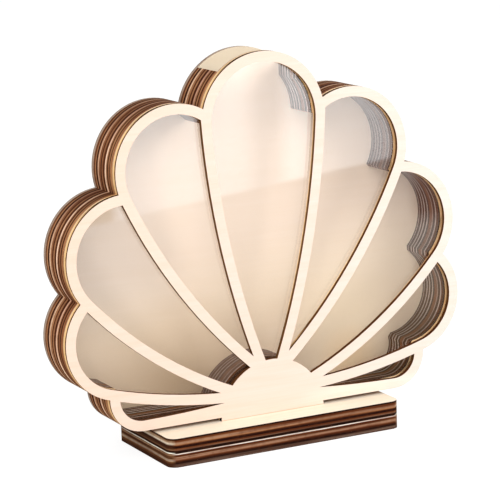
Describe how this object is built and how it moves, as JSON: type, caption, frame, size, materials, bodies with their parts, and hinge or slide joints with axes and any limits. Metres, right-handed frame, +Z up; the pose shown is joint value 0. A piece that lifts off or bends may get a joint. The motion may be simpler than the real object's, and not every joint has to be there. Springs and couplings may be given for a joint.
{
  "type": "shell display case",
  "caption": "Scallop-shell wooden display case with ribbed clear front, laminated ring, open drop slot on top and a laminated rectangular base.",
  "frame": {"origin": "middle of the base's underside", "axes": "+X to the right seen from the front, +Y to the back, +Z up; the ribbed front faces -Y"},
  "size_m": [0.2736, 0.077, 0.244],
  "materials": {
    "face_ply": "bare pale birch plywood, laser-cut, burnt on its edges",
    "ring_ply": "laser-burnt plywood edges with thin pale joint lines",
    "back_ply": "bare pale plywood",
    "base_ply": "pale plywood with laser-burnt edges",
    "clear_sheet": "clear glossy sheet that mirrors its surroundings",
    "screw_steel": "zinc-plated"
  },
  "bodies": {
    "root": {"front_frame": "face_ply", "window_pane": "clear_sheet", "back_panel": "back_ply", "base_screws": "screw_steel", "ring_block_1": "ring_ply", "ring_block_2": "ring_ply", "ring_block_3": "ring_ply", "base_sheet_1": "base_ply", "base_sheet_2": "base_ply", "base_sheet_3": "base_ply", "base_sheet_4": "base_ply", "base_sheet_5": "base_ply", "base_sheet_6": "base_ply"}
  },
  "joints": []
}
